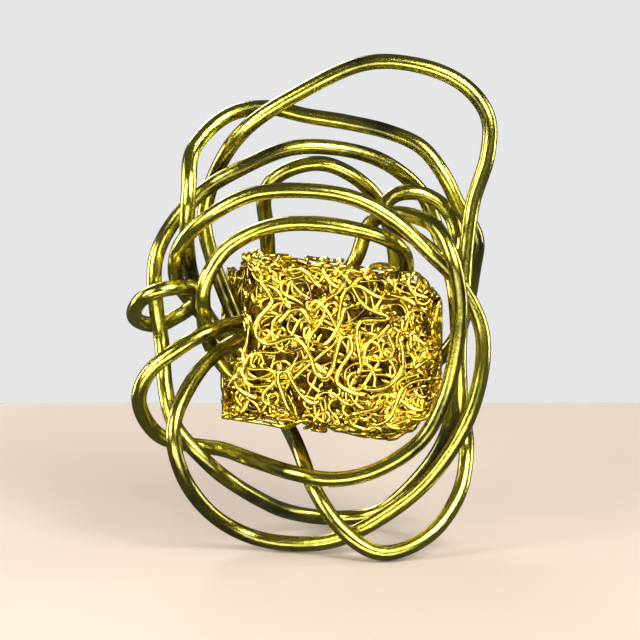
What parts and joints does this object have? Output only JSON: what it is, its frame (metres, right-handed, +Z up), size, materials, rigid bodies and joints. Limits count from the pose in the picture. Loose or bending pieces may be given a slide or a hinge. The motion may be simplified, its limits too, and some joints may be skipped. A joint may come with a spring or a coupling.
{
  "type": "metal ring disentanglement puzzle",
  "caption": "Tangled closed rings of thick brass-coloured wire threaded through a folded mat of crumpled fine wire, to be worked apart by hand.",
  "frame": {"origin": "a point on the plane that the rings stand on, under the middle of the folded mat", "axes": "+X to the right, -Y to the front, +Z up, seen with the threaded ring's long run in front"},
  "size_m": [0.0926, 0.0604, 0.1233],
  "materials": {
    "thick_wire": "tarnished olive brass, polished, with fine scuffs",
    "fine_wire": "bright yellow brass wire, crumpled"
  },
  "bodies": {
    "mat": {"front_mat": "fine_wire", "rear_mat": "fine_wire", "mat_fold": "fine_wire", "s_wire": "fine_wire", "curl_wire": "fine_wire", "sweep_wire": "fine_wire", "hook_wire": "fine_wire", "straight_wire": "fine_wire", "crook_wire": "fine_wire", "teardrop_wire": "fine_wire", "low_wire": "fine_wire", "finger_wire": "fine_wire", "corner_wire": "fine_wire", "arch_wire": "fine_wire", "band_wire": "fine_wire", "crest_wire": "fine_wire", "neck_wire": "fine_wire"},
    "tall_ring": {"tall_ring": "thick_wire"},
    "back_hoop": {"back_hoop": "thick_wire"},
    "side_hoop": {"side_hoop": "thick_wire"},
    "wide_ring": {"wide_ring": "thick_wire"},
    "threaded_ring": {"threaded_ring": "thick_wire"},
    "round_ring": {"round_ring": "thick_wire"},
    "inner_ring": {"inner_ring": "thick_wire"},
    "left_link": {"left_link": "thick_wire"},
    "right_link": {"right_link": "thick_wire"}
  },
  "joints": [
    {"name": "tall_ring_slip", "type": "slide", "parent": "mat", "child": "tall_ring", "axis": [0, 0, 1], "range_m": [-0.0015, 0]},
    {"name": "back_hoop_slip", "type": "slide", "parent": "mat", "child": "back_hoop", "axis": [0, 0, 1], "range_m": [0, 0.0015]},
    {"name": "side_hoop_slip", "type": "slide", "parent": "mat", "child": "side_hoop", "axis": [0, 0, 1], "range_m": [-0.0015, 0]},
    {"name": "wide_ring_slip", "type": "slide", "parent": "mat", "child": "wide_ring", "axis": [0, 0, 1], "range_m": [-0.0015, 0]},
    {"name": "threaded_ring_slip", "type": "slide", "parent": "mat", "child": "threaded_ring", "axis": [0, 0, 1], "range_m": [0, 0.001]},
    {"name": "round_ring_slip", "type": "slide", "parent": "mat", "child": "round_ring", "axis": [0, 0, 1], "range_m": [0, 0.001]},
    {"name": "inner_ring_tip", "type": "hinge", "parent": "mat", "child": "inner_ring", "pos_m": [0.008, 0.0265, 0.035], "axis": [1, 0, 0], "range_deg": [-10, 0]},
    {"name": "left_link_swing", "type": "hinge", "parent": "side_hoop", "child": "left_link", "pos_m": [-0.0395, -0.0017, 0.058], "axis": [0, 0, 1], "range_deg": [-3, 3]},
    {"name": "right_link_swing", "type": "hinge", "parent": "mat", "child": "right_link", "pos_m": [0.025, 0.0065, 0.0875], "axis": [1, 0, 0], "range_deg": [-8, 0]}
  ]
}
